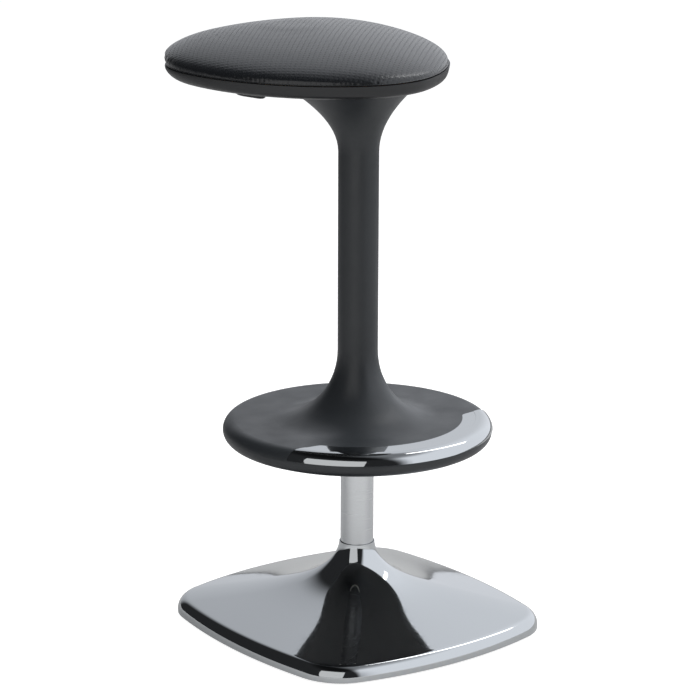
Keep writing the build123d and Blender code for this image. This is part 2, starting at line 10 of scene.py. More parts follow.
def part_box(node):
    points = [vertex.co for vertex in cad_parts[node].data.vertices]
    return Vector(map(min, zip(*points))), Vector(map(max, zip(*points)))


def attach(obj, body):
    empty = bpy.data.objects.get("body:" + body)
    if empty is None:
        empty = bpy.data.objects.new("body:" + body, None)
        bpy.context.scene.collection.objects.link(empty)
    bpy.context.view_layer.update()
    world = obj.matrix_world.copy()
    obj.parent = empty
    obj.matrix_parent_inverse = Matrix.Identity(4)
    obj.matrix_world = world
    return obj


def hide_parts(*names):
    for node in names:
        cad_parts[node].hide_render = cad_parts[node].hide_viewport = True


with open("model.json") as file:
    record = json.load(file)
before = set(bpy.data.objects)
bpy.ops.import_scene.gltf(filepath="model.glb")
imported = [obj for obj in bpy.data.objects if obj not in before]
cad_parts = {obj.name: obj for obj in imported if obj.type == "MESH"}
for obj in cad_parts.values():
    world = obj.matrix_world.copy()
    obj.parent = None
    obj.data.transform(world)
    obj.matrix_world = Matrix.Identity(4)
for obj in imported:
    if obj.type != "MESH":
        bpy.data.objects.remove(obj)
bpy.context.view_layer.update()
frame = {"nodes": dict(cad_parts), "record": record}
nodes = frame["nodes"]
scene = bpy.context.scene
scene.view_settings.view_transform = "Standard"
print("frame loaded,", len(nodes), "nodes")


# Camera: long lens from the sitter's front right, a little above the seat
cameraSpec = {
    "place": (-2.530, -3.352, 1.557),
    "heading": (0.6004, 0.7997),
    "downDeg": 15.47,
    "leanRad": 0.004,
    "lens": 162.16,
}


def placeCamera(spec):
    hx, hy = spec["heading"]
    down = math.radians(spec["downDeg"])
    ahead = Vector((hx * math.cos(down), hy * math.cos(down), -math.sin(down))).normalized()
    level = Vector((hy, -hx, 0)).normalized()
    up = level.cross(ahead)
    lean = spec["leanRad"]
    right = level * math.cos(lean) + up * math.sin(lean)
    up = up * math.cos(lean) - level * math.sin(lean)
    data = bpy.data.cameras.new("camera")
    data.lens = spec["lens"]
    data.sensor_width = 36.0
    camera = bpy.data.objects.new("camera", data)
    turn = Matrix((right, up, -ahead)).transposed()
    camera.matrix_world = Matrix.Translation(spec["place"]) @ turn.to_4x4()
    scene.collection.objects.link(camera)
    scene.camera = camera


placeCamera(cameraSpec)
print("camera placed")


def linearRgb(hexCode):
    out = []
    for i in (0, 2, 4):
        c = int(hexCode[i:i + 2], 16) / 255
        out.append(c / 12.92 if c <= 0.04045 else ((c + 0.055) / 1.055) ** 2.4)
    return (*out, 1.0)


def addNode(tree, kind, inputs=None, **settings):
    node = tree.nodes.new(kind)
    for key, value in settings.items():
        setattr(node, key, value)
    for key, value in (inputs or {}).items():
        if isinstance(value, bpy.types.NodeSocket):
            tree.links.new(value, node.inputs[key])
        else:
            node.inputs[key].default_value = value
    return node


def newMaterial(name, **sockets):
    material = bpy.data.materials.new(name)
    material.use_nodes = True
    tree = material.node_tree
    shader = tree.nodes["Principled BSDF"]
    for key, value in sockets.items():
        shader.inputs[key.replace("_", " ")].default_value = value
    return material, tree, shader


def perMm(mm):
    # texture scale for a feature of this size, as patterns are in metres
    return 1000.0 / mm


# Chromium plate on buffed steel: a near mirror. Buffing leaves long soft waves and a haze that comes and goes.
def chromePlate():
    spec = {"tint": "C6C9CB", "waveMm": 70.0, "waveRise": 0.00012, "hazeMm": 9.0, "haze": (0.025, 0.075)}
    material, tree, shader = newMaterial("chromePlate", Metallic=1.0, Base_Color=linearRgb(spec["tint"]))
    at = addNode(tree, "ShaderNodeTexCoord").outputs["Object"]
    wave = addNode(tree, "ShaderNodeTexNoise", {"Vector": at, "Scale": perMm(spec["waveMm"]), "Detail": 1.0})
    bump = addNode(tree, "ShaderNodeBump", {"Height": wave.outputs["Fac"], "Distance": spec["waveRise"]})
    haze = addNode(tree, "ShaderNodeTexNoise", {"Vector": at, "Scale": perMm(spec["hazeMm"]), "Detail": 4.0})
    low, high = spec["haze"]
    rough = addNode(tree, "ShaderNodeMapRange", {"Value": haze.outputs["Fac"], "From Min": 0.35, "From Max": 0.7,
                                                 "To Min": low, "To Max": high})
    tree.links.new(rough.outputs["Result"], shader.inputs["Roughness"])
    tree.links.new(bump.outputs["Normal"], shader.inputs["Normal"])
    return material


# Satin chromed steel tube, ground round its length: soft streaks of light down it, hair lines round it.
# The lines are 0.2 mm in life and drawn as 0.8 mm bands to show.
def satinTube():
    spec = {"tint": "D2D4D6", "lineMm": 0.8, "sweepMm": 50.0, "lineRise": 0.0000004, "rough": (0.25, 0.275)}
    material, tree, shader = newMaterial("satinTube", Metallic=1.0, Base_Color=linearRgb(spec["tint"]))
    at = addNode(tree, "ShaderNodeTexCoord").outputs["Object"]
    sweep = perMm(spec["sweepMm"])
    flat = addNode(tree, "ShaderNodeMapping", {"Vector": at, "Scale": (sweep, sweep, perMm(spec["lineMm"]))})
    lines = addNode(tree, "ShaderNodeTexNoise", {"Vector": flat.outputs["Vector"], "Scale": 1.0, "Detail": 3.0})
    low, high = spec["rough"]
    rough = addNode(tree, "ShaderNodeMapRange", {"Value": lines.outputs["Fac"], "From Min": 0.3, "From Max": 0.7,
                                                 "To Min": low, "To Max": high})
    bump = addNode(tree, "ShaderNodeBump", {"Height": lines.outputs["Fac"], "Distance": spec["lineRise"]})
    tree.links.new(rough.outputs["Result"], shader.inputs["Roughness"])
    tree.links.new(bump.outputs["Normal"], shader.inputs["Normal"])
    return material


# Integral-skin polyurethane from a sand-blasted mould: matte anthracite, a fine grain, scuffs a shade lighter
def softSkin():
    spec = {"tint": "282B2E", "worn": "303336", "grainMm": 0.9, "grainRise": 0.00005, "patchMm": 55.0,
            "rough": (0.34, 0.46)}
    material, tree, shader = newMaterial("softSkin", IOR=1.5)
    at = addNode(tree, "ShaderNodeTexCoord").outputs["Object"]
    patch = addNode(tree, "ShaderNodeTexNoise", {"Vector": at, "Scale": perMm(spec["patchMm"]), "Detail": 5.0})
    tint = addNode(tree, "ShaderNodeMix", {"Factor": patch.outputs["Fac"], "A": linearRgb(spec["tint"]),
                                           "B": linearRgb(spec["worn"])}, data_type="RGBA")
    low, high = spec["rough"]
    rough = addNode(tree, "ShaderNodeMapRange", {"Value": patch.outputs["Fac"], "From Min": 0.3, "From Max": 0.7,
                                                 "To Min": high, "To Max": low})
    grain = addNode(tree, "ShaderNodeTexNoise", {"Vector": at, "Scale": perMm(spec["grainMm"]), "Detail": 3.0})
    bump = addNode(tree, "ShaderNodeBump", {"Height": grain.outputs["Fac"], "Distance": spec["grainRise"]})
    tree.links.new(tint.outputs["Result"], shader.inputs["Base Color"])
    tree.links.new(rough.outputs["Result"], shader.inputs["Roughness"])
    tree.links.new(bump.outputs["Normal"], shader.inputs["Normal"])
    return material


# Artificial leather with pressed dimples: a soft broad sheen on the lands, duller pits painted darker as shade
def dimpledLeather():
    spec = {"land": "15171A", "pitShade": "111214", "grainMm": 1.1, "grainRise": 0.00003, "landRough": 0.27,
            "pitRough": 0.42}
    material, tree, shader = newMaterial("dimpledLeather", IOR=1.6, Sheen_Weight=0.16, Sheen_Roughness=0.35)
    at = addNode(tree, "ShaderNodeTexCoord").outputs["Object"]
    pitShade = addNode(tree, "ShaderNodeAttribute", attribute_name="pitShade").outputs["Fac"]
    # the pits' darker colour is painted shade in the dimples; their higher roughness is the real duller finish
    tint = addNode(tree, "ShaderNodeMix", {"Factor": pitShade, "A": linearRgb(spec["land"]),
                                           "B": linearRgb(spec["pitShade"])}, data_type="RGBA")
    rough = addNode(tree, "ShaderNodeMapRange", {"Value": pitShade, "To Min": spec["landRough"],
                                                 "To Max": spec["pitRough"]})
    grain = addNode(tree, "ShaderNodeTexVoronoi", {"Vector": at, "Scale": perMm(spec["grainMm"])},
                    feature="SMOOTH_F1")
    bump = addNode(tree, "ShaderNodeBump", {"Height": grain.outputs["Distance"], "Distance": spec["grainRise"]})
    tree.links.new(tint.outputs["Result"], shader.inputs["Base Color"])
    tree.links.new(rough.outputs["Result"], shader.inputs["Roughness"])
    tree.links.new(bump.outputs["Normal"], shader.inputs["Normal"])
    return material


# A plain solid material whose colour and gloss drift a little: what the hidden metal, rubber and plastic need
def driftMaterial(name, tint, drift, driftMm, rough, metallic=0.0, ior=1.5, rise=0.0):
    material, tree, shader = newMaterial(name, Metallic=metallic, IOR=ior)
    at = addNode(tree, "ShaderNodeTexCoord").outputs["Object"]
    cloud = addNode(tree, "ShaderNodeTexNoise", {"Vector": at, "Scale": perMm(driftMm), "Detail": 4.0})
    mix = addNode(tree, "ShaderNodeMix", {"Factor": cloud.outputs["Fac"], "A": linearRgb(tint),
                                          "B": linearRgb(drift)}, data_type="RGBA")
    gloss = addNode(tree, "ShaderNodeMapRange", {"Value": cloud.outputs["Fac"], "From Min": 0.3, "From Max": 0.7,
                                                 "To Min": rough[0], "To Max": rough[1]})
    bump = addNode(tree, "ShaderNodeBump", {"Height": cloud.outputs["Fac"], "Distance": rise})
    tree.links.new(mix.outputs["Result"], shader.inputs["Base Color"])
    tree.links.new(gloss.outputs["Result"], shader.inputs["Roughness"])
    tree.links.new(bump.outputs["Normal"], shader.inputs["Normal"])
    return material


# Rotary-cut beech plies, pressed: pale face, long grain along the seat
def pressedPly():
    spec = {"early": "C9A87C", "late": "A98355", "grainMm": 2.2, "stretch": 0.06}
    material, tree, shader = newMaterial("pressedPly", IOR=1.5, Roughness=0.6)
    at = addNode(tree, "ShaderNodeTexCoord").outputs["Object"]
    long = addNode(tree, "ShaderNodeMapping", {"Vector": at, "Scale": (1.0, spec["stretch"], 1.0)})
    grain = addNode(tree, "ShaderNodeTexNoise", {"Vector": long.outputs["Vector"], "Scale": perMm(spec["grainMm"]),
                                                 "Detail": 4.0})
    tint = addNode(tree, "ShaderNodeMix", {"Factor": grain.outputs["Fac"], "A": linearRgb(spec["early"]),
                                           "B": linearRgb(spec["late"])}, data_type="RGBA")
    tree.links.new(tint.outputs["Result"], shader.inputs["Base Color"])
    return material


leather = dimpledLeather()
finishes = {
    "chrome": chromePlate(),
    "satin_steel": satinTube(),
    "soft_skin": softSkin(),
    "upholstery": leather,
    "plywood": pressedPly(),
    # glass-filled nylon, moulded
    "black_plastic": driftMaterial("mouldedNylon", "17181A", "1F2022", 6.0, (0.32, 0.42), rise=0.00002),
    # acetal, machined: milky and slick
    "bearing_plastic": driftMaterial("turnedAcetal", "D8D6CC", "CFCCC0", 12.0, (0.28, 0.38), ior=1.48),
    # zinc-plated steel: spangled grey
    "steel": driftMaterial("zincedSteel", "A7ABAD", "8E9295", 5.0, (0.3, 0.45), metallic=1.0),
    # black-oxide screws: oily dark
    "fasteners": driftMaterial("blackOxide", "3A3B3D", "2B2C2E", 2.0, (0.35, 0.5), metallic=1.0),
    # cast iron under primer
    "ballast": driftMaterial("primedIron", "4A4846", "3C3A38", 3.0, (0.6, 0.75), rise=0.0002),
    # rubber pad, calendered
    "rubber": driftMaterial("padRubber", "202020", "2A2A2A", 4.0, (0.7, 0.85), ior=1.52, rise=0.00006),
    # turned aluminium
    "piston_metal": driftMaterial("turnedAluminium", "C8CACC", "B7B9BB", 1.5, (0.25, 0.35), metallic=1.0),
}

for part in frame["record"]["subparts"]:
    for holder in nodes[part["node"]].material_slots:
        holder.material = finishes[part["material_slot"]]


def newTree(name, sizes):
    tree = bpy.data.node_groups.new(name, "GeometryNodeTree")
    tree.interface.new_socket("Geometry", in_out="INPUT", socket_type="NodeSocketGeometry")
    for key, value in sizes.items():
        kind = "NodeSocketInt" if isinstance(value, int) else "NodeSocketFloat"
        tree.interface.new_socket(key, in_out="INPUT", socket_type=kind)
    tree.interface.new_socket("Geometry", in_out="OUTPUT", socket_type="NodeSocketGeometry")
    return tree, addNode(tree, "NodeGroupInput").outputs


def endTree(tree, made, material):
    real = addNode(tree, "GeometryNodeRealizeInstances", {"Geometry": made})
    done = addNode(tree, "GeometryNodeSetMaterial", {"Geometry": real.outputs[0], "Material": material})
    addNode(tree, "NodeGroupOutput", {"Geometry": done.outputs[0]})


def meshFromTree(name, source, tree, sizes):
    # runs the tree on a mesh and keeps the result as a plain mesh object
    holder = bpy.data.objects.new(name, source)
    scene.collection.objects.link(holder)
    modifier = holder.modifiers.new(name, "NODES")
    modifier.node_group = tree
    for item in tree.interface.items_tree:
        if item.in_out == "INPUT" and item.name in sizes:
            modifier[item.identifier] = sizes[item.name]
    holder.data = plainMesh(holder)
    holder.data.name = name
    return holder


def plainMesh(holder):
    made = bpy.data.meshes.new_from_object(holder.evaluated_get(bpy.context.evaluated_depsgraph_get()))
    holder.modifiers.clear()
    return made


# Seat cushion: foam under a stretched cover that is drawn in at the seam
cushionSpec = {
    "skirt": 0.012,  # how far the cover runs on below the seam before it is cut level
    "shrink": 0.0035,  # the pad swells, so it starts smaller
    "voxel": 0.005,
    "pressure": 4.0,
    "frames": 20,
    "cap": 0.0045,  # the most that a point may move
    "heldTo": 0.002,  # height over the seam up to which the cover is held
    "taut": 0.85,  # how closely the cover follows the foam's moulded shape
    "bulge": (0.0028, 0.016, 0.012),  # how far the side stands out, how high over the seam, and over what height
    "crown": (0.985, 60),  # how level the top is where it gets smoothed again, and how many times
    "tuck": (0.0002, 0.003),  # how far the cover is drawn in at the seam, and over what height
    "cutLift": 0.0002,
    "hemLift": 0.0007,
    "trim": 0.005,  # what is cut off the skirt before the cover is laid
    "wrap": (0.0138, 2.8),  # extra run of the cover over its plan, from the crown to the seam, and how late it comes
    "cover": {"Pitch": 0.0068, "Dimple Radius": 0.0015, "Depth": 0.0005, "Turn": math.radians(45), "Middle": 0.095},
    "hem": {"Radius": 0.0008, "Spacing": 0.003},
    "fill": 0.85,
}


def foamBlank(spec):
    # the solid cushion with a skirt below the seam, a little smaller all round, in even quads
    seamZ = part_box("seat_cushion")[0][2]
    mesh = bpy.data.meshes.new("foamBlank")
    bm = bmesh.new()
    bm.from_mesh(nodes["seat_cushion"].data)
    bmesh.ops.remove_doubles(bm, verts=bm.verts, dist=0.00002)
    for v in bm.verts:
        if v.co.z < seamZ + 0.0001:
            v.co.z -= spec["skirt"]
    bm.normal_update()
    moulded = BVHTree.FromBMesh(bm)
    for v, inward in [(v, -v.normal) for v in bm.verts]:
        v.co += inward * spec["shrink"]
    bm.to_mesh(mesh)
    bm.free()
    blank = bpy.data.objects.new("foamBlank", mesh)
    scene.collection.objects.link(blank)
    remesh = blank.modifiers.new("evenQuads", "REMESH")
    remesh.mode = "VOXEL"
    remesh.voxel_size = spec["voxel"]
    blank.data = plainMesh(blank)
    return blank, seamZ, moulded


def swellFoam(blank, seamZ, spec):
    # cloth blown up over the foam, held below the seam, each point kept near where it began
    start = [v.co.copy() for v in blank.data.vertices]
    held = blank.vertex_groups.new(name="held")
    held.add([i for i, co in enumerate(start) if co.z < seamZ + spec["heldTo"]], 1.0, "REPLACE")
    cloth = blank.modifiers.new("cover", "CLOTH")
    cloth.settings.vertex_group_mass = "held"
    cloth.settings.use_pressure = True
    cloth.settings.uniform_pressure_force = spec["pressure"]
    cloth.settings.effector_weights.gravity = 0
    cloth.point_cache.frame_start = 1
    cloth.point_cache.frame_end = spec["frames"]
    for step in range(1, spec["frames"] + 1):
        scene.frame_set(step)
    blank.data = plainMesh(blank)
    scene.frame_set(1)
    for v, co in zip(blank.data.vertices, start):
        move = v.co - co
        if move.length > spec["cap"]:
            v.co = co + move.normalized() * spec["cap"]


def coverForm(spec):
    # the smooth outside of the cushion with the cover laid flat as a map on it
    blank, seamZ, moulded = foamBlank(spec)
    swellFoam(blank, seamZ, spec)
    finer = blank.modifiers.new("finer", "SUBSURF")
    finer.levels = finer.render_levels = 1
    blank.data = plainMesh(blank)
    bm = bmesh.new()
    bm.from_mesh(blank.data)
    for taut in (spec["taut"], spec["taut"], 0):
        for v in bm.verts:
            v.co = v.co.lerp(moulded.find_nearest(v.co)[0], taut)
        bmesh.ops.smooth_vert(bm, verts=bm.verts, factor=0.5, use_axis_x=True, use_axis_y=True, use_axis_z=True)
    bm.normal_update()
    level, passes = spec["crown"]
    for _ in range(passes):
        bmesh.ops.smooth_vert(bm, verts=[v for v in bm.verts if v.normal.z > level], factor=0.5, use_axis_x=True,
                              use_axis_y=True, use_axis_z=True)
    out, rise, spread = spec["bulge"]
    tuck, tuckHeight = spec["tuck"]
    for v in bm.verts:
        high = v.co.z - seamZ
        push = out * math.exp(-((high - rise) / spread) ** 2) - tuck * math.exp(-(high / tuckHeight) ** 2)
        v.co += Vector((v.normal.x, v.normal.y, 0)) * push
    low = seamZ - spec["skirt"] + spec["trim"]
    bmesh.ops.delete(bm, geom=[v for v in bm.verts if v.co.z < low], context="VERTS")
    bm.normal_update()
    bm.to_mesh(blank.data)
    top = max(v.co.z for v in bm.verts)
    wrap, late = spec["wrap"]
    flat = blank.data.attributes.new("coverMap", "FLOAT_VECTOR", "POINT")
    for i, v in enumerate(bm.verts):
        high = (v.co.z - seamZ) / (top - seamZ)
        run = wrap * (1 - high) ** late if high > 0 else wrap + seamZ - v.co.z
        out = Vector((v.normal.x, v.normal.y, 0))
        if out.length > 0.001:
            out.normalize()
        flat.data[i].vector = (v.co.x + out.x * run, v.co.y + out.y * run, 0)
    bm.free()
    return blank, seamZ


def dimpledCover(material, sizes):
    # a square lattice with four steps a cell: the first ring of a cell goes to the rim of its dimple, the middle sinks
    tree, given = newTree("dimpledCover", sizes)
    pitch = given["Pitch"]
    grid = addNode(tree, "GeometryNodeMeshGrid", {"Size X": given["Sheet"], "Size Y": given["Sheet"],
                                                  "Vertices X": given["Lines"], "Vertices Y": given["Lines"]})
    here = addNode(tree, "GeometryNodeInputPosition").outputs[0]
    count = addNode(tree, "ShaderNodeVectorMath", {0: here, "Scale": addNode(
        tree, "ShaderNodeMath", {0: 1.0, 1: pitch}, operation="DIVIDE").outputs[0]}, operation="SCALE").outputs[0]
    shifted = addNode(tree, "ShaderNodeVectorMath", {0: count, 1: (0.5, 0.5, 0.0)}, operation="ADD").outputs[0]
    cell = addNode(tree, "ShaderNodeVectorMath", {0: shifted}, operation="FLOOR").outputs[0]
    local = addNode(tree, "ShaderNodeVectorMath", {0: count, 1: cell}, operation="SUBTRACT").outputs[0]
    size = addNode(tree, "ShaderNodeVectorMath", {0: local}, operation="ABSOLUTE").outputs[0]
    axes = addNode(tree, "ShaderNodeSeparateXYZ", {0: size}).outputs
    ring = addNode(tree, "ShaderNodeMath", {0: axes["X"], 1: axes["Y"]}, operation="MAXIMUM").outputs[0]
    onRim = addNode(tree, "ShaderNodeMath", {0: ring, 1: 0.25, 2: 0.1}, operation="COMPARE").outputs[0]
    inPit = addNode(tree, "ShaderNodeMath", {0: ring, 1: 0.125}, operation="LESS_THAN").outputs[0]
    aim = addNode(tree, "ShaderNodeVectorMath", {0: local}, operation="NORMALIZE").outputs[0]
    share = addNode(tree, "ShaderNodeMath", {0: given["Dimple Radius"], 1: pitch}, operation="DIVIDE").outputs[0]
    rim = addNode(tree, "ShaderNodeVectorMath", {0: aim, "Scale": share}, operation="SCALE").outputs[0]
    spot = addNode(tree, "ShaderNodeMix", {"Factor": onRim, 4: local, 5: rim}, data_type="VECTOR").outputs[1]
    spot = addNode(tree, "ShaderNodeVectorMath", {0: cell, 1: spot}, operation="ADD").outputs[0]
    spot = addNode(tree, "ShaderNodeVectorMath", {0: spot, "Scale": pitch}, operation="SCALE").outputs[0]
    spot = addNode(tree, "ShaderNodeVectorRotate", {"Vector": spot, "Angle": given["Turn"]},
                   rotation_type="Z_AXIS").outputs[0]
    middle = addNode(tree, "ShaderNodeCombineXYZ", {"Y": given["Middle"]}).outputs[0]
    spot = addNode(tree, "ShaderNodeVectorMath", {0: spot, 1: middle}, operation="ADD").outputs[0]
    laid = addNode(tree, "GeometryNodeInputNamedAttribute", {"Name": "coverMap"}, data_type="FLOAT_VECTOR").outputs[0]
    found = []
    for field in (here, addNode(tree, "GeometryNodeInputNormal").outputs[0]):
        found.append(addNode(tree, "GeometryNodeSampleUVSurface", {
            "Mesh": given["Geometry"], "Value": field, "Source UV Map": laid, "Sample UV": spot},
            data_type="FLOAT_VECTOR").outputs)
    missed = addNode(tree, "FunctionNodeBooleanMath", {0: found[0]["Is Valid"]}, operation="NOT").outputs[0]
    # the dimple middles are stored for the leather, which paints them darker as shade and makes them rougher
    marked = addNode(tree, "GeometryNodeStoreNamedAttribute", {"Geometry": grid.outputs["Mesh"], "Name": "pitShade",
                                                              "Value": inPit}, data_type="FLOAT", domain="POINT")
    kept = addNode(tree, "GeometryNodeDeleteGeometry", {"Geometry": marked.outputs[0], "Selection": missed},
                   domain="POINT")
    sunk = addNode(tree, "ShaderNodeMath", {0: inPit, 1: given["Depth"]}, operation="MULTIPLY").outputs[0]
    sunk = addNode(tree, "ShaderNodeMath", {0: sunk, 1: -1.0}, operation="MULTIPLY").outputs[0]
    dip = addNode(tree, "ShaderNodeVectorMath", {0: found[1]["Value"], "Scale": sunk}, operation="SCALE").outputs[0]
    place = addNode(tree, "ShaderNodeVectorMath", {0: found[0]["Value"], 1: dip}, operation="ADD").outputs[0]
    moved = addNode(tree, "GeometryNodeSetPosition", {"Geometry": kept.outputs[0], "Position": place})
    soft = addNode(tree, "GeometryNodeSetShadeSmooth", {"Geometry": moved.outputs[0]})
    endTree(tree, soft.outputs[0], material)
    return tree


def rolledHem(material, sizes):
    tree, given = newTree("rolledHem", sizes)
    line = addNode(tree, "GeometryNodeMeshToCurve", {"Mesh": given["Geometry"]})
    even = addNode(tree, "GeometryNodeResampleCurve", {"Curve": line.outputs[0], "Length": given["Spacing"]},
                   mode="LENGTH")
    roll = addNode(tree, "GeometryNodeCurvePrimitiveCircle", {"Resolution": 10, "Radius": given["Radius"]})
    swept = addNode(tree, "GeometryNodeCurveToMesh", {"Curve": even.outputs[0], "Profile Curve": roll.outputs[0]})
    soft = addNode(tree, "GeometryNodeSetShadeSmooth", {"Geometry": swept.outputs[0]})
    endTree(tree, soft.outputs[0], material)
    return tree


def edgeLoop(bm):
    # the open edge of a cut sheet, in order
    first = next(e for e in bm.edges if e.is_boundary).verts[0]
    loop, last = [first], None
    while True:
        step = [e for e in loop[-1].link_edges if e.is_boundary and e is not last]
        last = step[0]
        nextVert = last.other_vert(loop[-1])
        if nextVert is first:
            return loop
        loop.append(nextVert)


def makeCushion(spec, material):
    blank, seamZ = coverForm(spec)
    reach = max(max(abs(c) for c in corner[:2]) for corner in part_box("seat_cushion")) + 0.03
    cells = math.ceil(reach * math.sqrt(2) / spec["cover"]["Pitch"])
    sizes = dict(spec["cover"], Sheet=2 * cells * spec["cover"]["Pitch"], Lines=8 * cells + 1)
    cushion = meshFromTree("cushion_cover", blank.data, dimpledCover(material, sizes), sizes)
    bpy.data.objects.remove(blank)
    bm = bmesh.new()
    bm.from_mesh(cushion.data)
    cut = (0, 0, seamZ + spec["cutLift"])
    bmesh.ops.bisect_plane(bm, geom=bm.verts[:] + bm.edges[:] + bm.faces[:], plane_co=cut, plane_no=(0, 0, 1),
                           clear_inner=True)
    bmesh.ops.remove_doubles(bm, verts=[v for v in bm.verts if v.co.z < cut[2] + 0.0001], dist=0.0002)
    loop = edgeLoop(bm)
    line = bpy.data.meshes.new("hemLine")
    line.from_pydata([(v.co.x, v.co.y, seamZ + spec["hemLift"]) for v in loop],
                     [(i, (i + 1) % len(loop)) for i in range(len(loop))], [])
    # the underside lies flat on the board
    bm.faces.new(loop)
    bmesh.ops.recalc_face_normals(bm, faces=bm.faces)
    bm.to_mesh(cushion.data)
    bm.free()
    hem = meshFromTree("cushion_hem", line, rolledHem(material, spec["hem"]), spec["hem"])
    for piece in (cushion, hem):
        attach(piece, "column")
    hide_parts("seat_cushion")
    print("cushion covered,", len(cushion.data.polygons), "faces, hem of", len(loop), "points")


makeCushion(cushionSpec, leather)


# Screws under the foot disc and under the seat shell: low round heads with a six-sided socket
screwSpec = {
    "cover_screws": {
        "spots": [(158 * math.cos(math.radians(30 + 60 * i)), 158 * math.sin(math.radians(30 + 60 * i)))
                  for i in range(6)],
        "sizes": {"Head Radius": 0.0045, "Head": 0.0016, "Shank Radius": 0.0025, "Socket": 0.0017},
    },
    "shell_screws": {
        "spots": [(-108, 160), (108, 160), (-45, -60.5), (45, -60.5)],
        "sizes": {"Head Radius": 0.0045, "Head": 0.0024, "Shank Radius": 0.0025, "Socket": 0.0017},
    },
}


def socketScrew(material, sizes):
    # one screw, head down and shank up from the origin, set on each point
    crownShare, socketDrop = 0.78, -0.9
    tree, given = newTree("socketScrew", sizes)
    crown = addNode(tree, "ShaderNodeMath", {0: given["Head Radius"], 1: crownShare}, operation="MULTIPLY").outputs[0]
    head = addNode(tree, "GeometryNodeMeshCone", {"Vertices": 28, "Side Segments": 1, "Radius Bottom": crown,
                                                  "Radius Top": given["Head Radius"], "Depth": given["Head"]})
    drop = addNode(tree, "ShaderNodeCombineXYZ", {"Z": addNode(tree, "ShaderNodeMath", {
        0: given["Head"], 1: -1.0}, operation="MULTIPLY").outputs[0]}).outputs[0]
    head = addNode(tree, "GeometryNodeTransform", {"Geometry": head.outputs["Mesh"], "Translation": drop})
    hole = addNode(tree, "GeometryNodeMeshCylinder", {"Vertices": 6, "Radius": given["Socket"],
                                                      "Depth": given["Head"]})
    lower = addNode(tree, "ShaderNodeMath", {0: given["Head"], 1: socketDrop}, operation="MULTIPLY").outputs[0]
    hole = addNode(tree, "GeometryNodeTransform", {"Geometry": hole.outputs["Mesh"], "Translation": addNode(
        tree, "ShaderNodeCombineXYZ", {"Z": lower}).outputs[0]})
    head = addNode(tree, "GeometryNodeMeshBoolean", {"Mesh 1": head.outputs[0], "Mesh 2": hole.outputs[0]},
                   operation="DIFFERENCE")
    shank = addNode(tree, "GeometryNodeMeshCylinder", {"Vertices": 20, "Radius": given["Shank Radius"],
                                                       "Depth": given["Shank"]})
    rise = addNode(tree, "ShaderNodeMath", {0: given["Shank"], 1: 0.5}, operation="MULTIPLY").outputs[0]
    shank = addNode(tree, "GeometryNodeTransform", {"Geometry": shank.outputs["Mesh"], "Translation": addNode(
        tree, "ShaderNodeCombineXYZ", {"Z": rise}).outputs[0]})
    both = addNode(tree, "GeometryNodeJoinGeometry")
    tree.links.new(head.outputs[0], both.inputs[0])
    tree.links.new(shank.outputs[0], both.inputs[0])
    many = addNode(tree, "GeometryNodeInstanceOnPoints", {"Points": given["Geometry"], "Instance": both.outputs[0]})
    endTree(tree, many.outputs[0], material)
    return tree


def makeScrews(node, spec):
    low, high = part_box(node)
    under = low.z + spec["sizes"]["Head"]
    sizes = dict(spec["sizes"], Shank=high.z - under)
    points = bpy.data.meshes.new(node)
    points.from_pydata([(x / 1000, y / 1000, under) for x, y in spec["spots"]], [], [])
    screws = meshFromTree(node + "_socketed", points, socketScrew(finishes["fasteners"], sizes), sizes)
    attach(screws, "column")
    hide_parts(node)


for node, spec in screwSpec.items():
    makeScrews(node, spec)
print("screws set")


# Base: one drawn sheet, square at its rolled rim and round at the neck, with a flat skirt between. Sizes in mm.
trumpetSpec = {
    "halfX": 212.7,
    "halfY": 223.1,
    "cornerCut": 51.6,
    "cornerR": 74.6,
    "low": 2.5,
    "side": 4.0,  # upright part of the rim
    "rollR": 18.0,
    "slopeDeg": 14.0,
    "neckPower": 5.0,  # how late the skirt turns up into the neck
    "neckR": 24.83,
    "top": 118.0,
    "wall": (0.9, 1.5),  # at the neck and at the rim
    "steps": 120,
    "around": (12, 20, 12),  # points on half a side, a corner, half a side
    "fine": (40, 400, 2000),  # points on the side, the roll and the skirt, from which the even steps are taken
    "sharpDeg": 40.0,
}


def squareRing(halfX, halfY, midX, midY, r, counts):
    # bowed sides and round corners, all tangent
    sideR = (r ** 2 - midY ** 2 - (midX - halfX) ** 2) / (2 * (midX - halfX + r))
    endR = (r ** 2 - midX ** 2 - (midY - halfY) ** 2) / (2 * (midY - halfY + r))
    side, end = halfX - sideR, halfY - endR
    first, second = math.atan2(midY, midX - side), math.atan2(midY - end, midX)
    quarter = [(halfX, 0.0)]
    arcs = [((side, 0), sideR, 0, first), ((midX, midY), r, first, second), ((0, end), endR, second, math.pi / 2)]
    for ((cx, cy), radius, a, b), count in zip(arcs, counts):
        for i in range(1, count + 1):
            t = a + (b - a) * i / count
            quarter.append((cx + radius * math.cos(t), cy + radius * math.sin(t)))
    half = quarter + [(-x, y) for x, y in quarter[-2::-1]]
    return half + [(-x, -y) for x, y in half[1:-1]]


